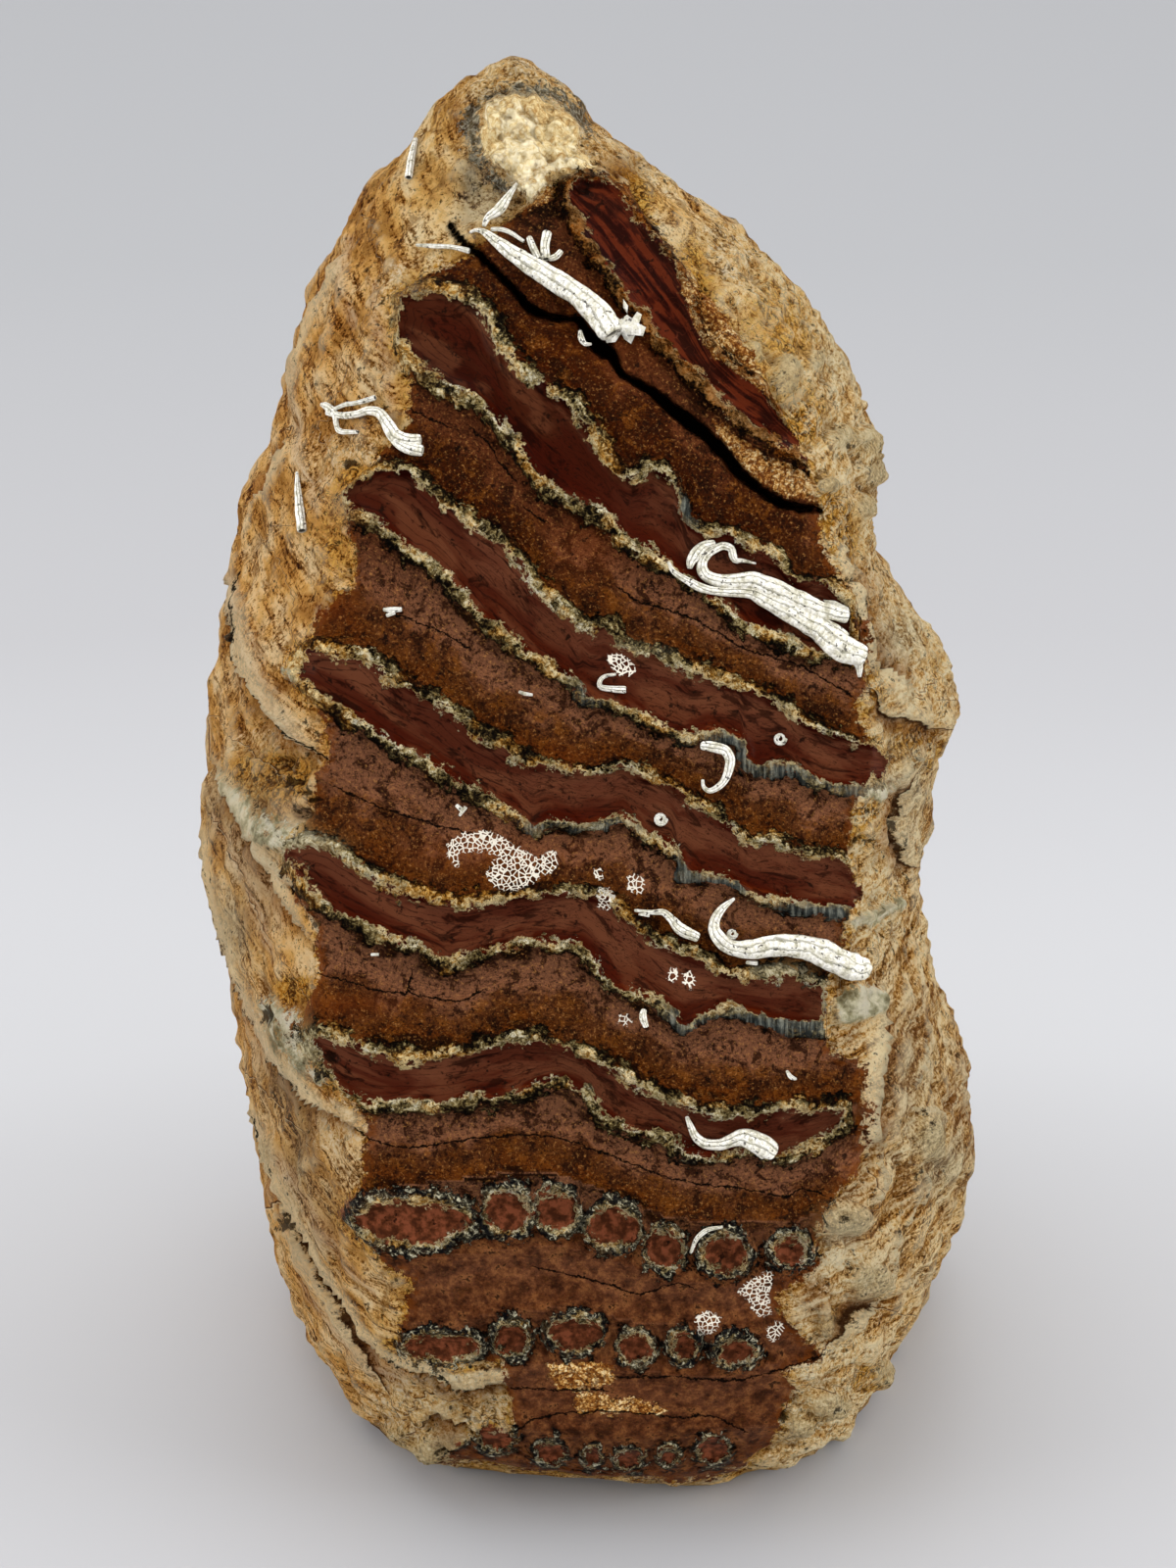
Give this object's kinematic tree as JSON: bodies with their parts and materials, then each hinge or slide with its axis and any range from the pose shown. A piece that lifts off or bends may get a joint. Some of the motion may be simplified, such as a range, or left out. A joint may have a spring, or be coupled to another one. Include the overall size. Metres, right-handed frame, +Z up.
{
  "type": "fossil mammoth tooth",
  "caption": "Fossil mammoth molar standing on its rear end: worn chewing face with wavy enamel loops, ribbed cement sides, and white worm tubes grown on it.",
  "frame": {"origin": "middle of the object's box at the level it stands on", "axes": "+Z up along the tooth's length, the tallest way; the chewing face looks toward -Y; +X to the right as seen from the chewing face"},
  "size_m": [0.1178, 0.1222, 0.196],
  "materials": {
    "fossil_tooth": "dark brown cement and glossy dark red dentine between olive enamel bands, tan fibrous sides",
    "worm_tube": "chalky white lime with fine growth rings"
  },
  "bodies": {
    "root": {"tooth": "fossil_tooth", "worm_tube_top": "worm_tube", "worm_tube_left": "worm_tube", "worm_tube_left_edge": "worm_tube", "worm_tube_shoulder": "worm_tube", "worm_tube_right": "worm_tube", "worm_tube_hook": "worm_tube", "worm_tube_lower": "worm_tube", "worm_tube_thread": "worm_tube", "worm_tube_low_right": "worm_tube"}
  },
  "joints": []
}
